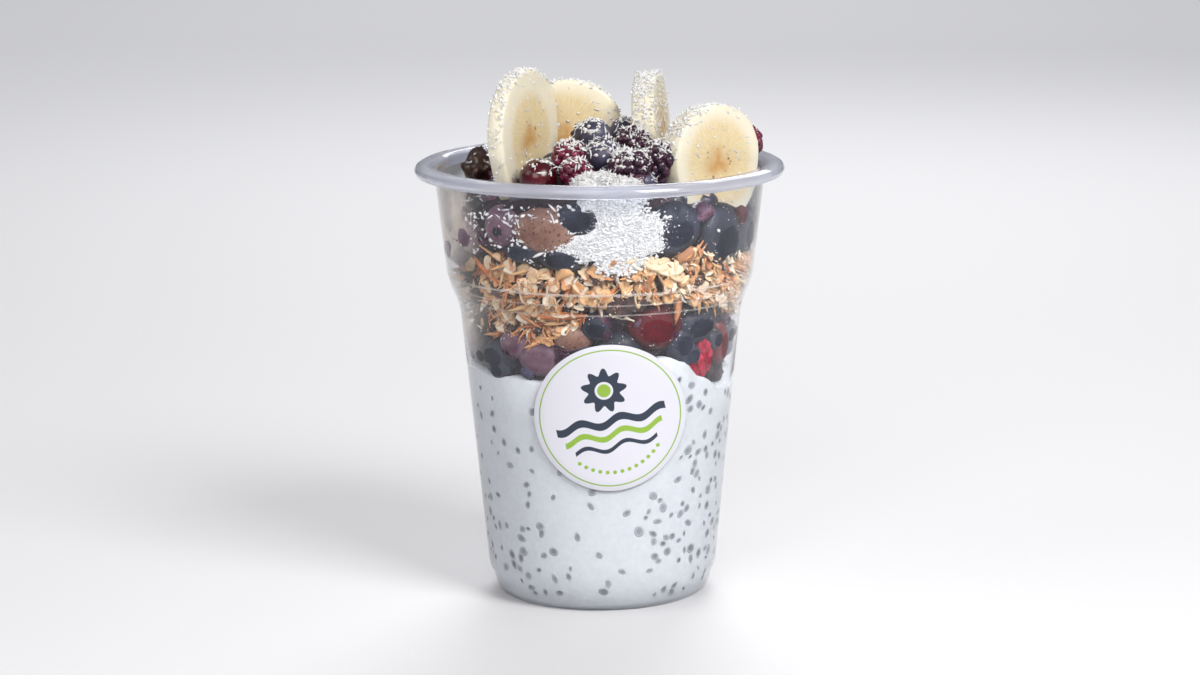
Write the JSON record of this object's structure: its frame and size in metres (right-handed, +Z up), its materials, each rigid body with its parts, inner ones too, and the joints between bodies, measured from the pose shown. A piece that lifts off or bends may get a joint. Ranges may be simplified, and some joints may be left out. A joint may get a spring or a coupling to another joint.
{
  "type": "granola yogurt cup",
  "caption": "Clear plastic cup of chia yogurt layered with fruit and granola, topped with banana slices, berries and shredded coconut.",
  "frame": {"origin": "middle of the underside of the cup's foot", "axes": "+Z up along the cup's axis, -Y towards the front with the label, +X to the right seen from the front"},
  "size_m": [0.095, 0.095, 0.1375],
  "materials": {
    "clear_plastic": "clear, glossy, slightly hazy at the rim",
    "label_paper": null,
    "yogurt": "smooth, wet, milky",
    "dark_fruit": "dark blue and purple berries, moist skin with some bloom",
    "red_fruit": "crimson and maroon berries, moist",
    "dried_fruit": "dark brown, wrinkled, sticky gloss",
    "granola": "dry, matte, toasted oat flakes and nuts",
    "banana": "cut flesh, moist and faintly glossy",
    "coconut": "dry white shreds"
  },
  "bodies": {
    "root": {"cup": "clear_plastic", "label": "label_paper", "yogurt": "yogurt", "lower_fruit": "dark_fruit", "granola": "granola", "upper_fruit": "dark_fruit", "coconut_spill": "coconut", "banana_left": "banana", "banana_behind": "banana", "banana_middle": "banana", "banana_right": "banana", "fig_left": "dried_fruit", "cherry_front": "red_fruit", "raspberry_front": "red_fruit", "raspberry_middle": "red_fruit", "blueberry_middle": "dark_fruit", "bramble_front": "dark_fruit", "bramble_right": "dark_fruit", "bramble_middle": "dark_fruit", "blueberry_back": "dark_fruit", "blueberry_top": "dark_fruit", "raspberry_right": "red_fruit", "cherry_right": "red_fruit", "blueberry_rear_left": "dark_fruit", "bramble_rear": "dark_fruit", "cherry_rear": "red_fruit", "raspberry_rear": "red_fruit", "blueberry_rear": "dark_fruit", "blueberry_rear_right": "dark_fruit"}
  },
  "joints": []
}
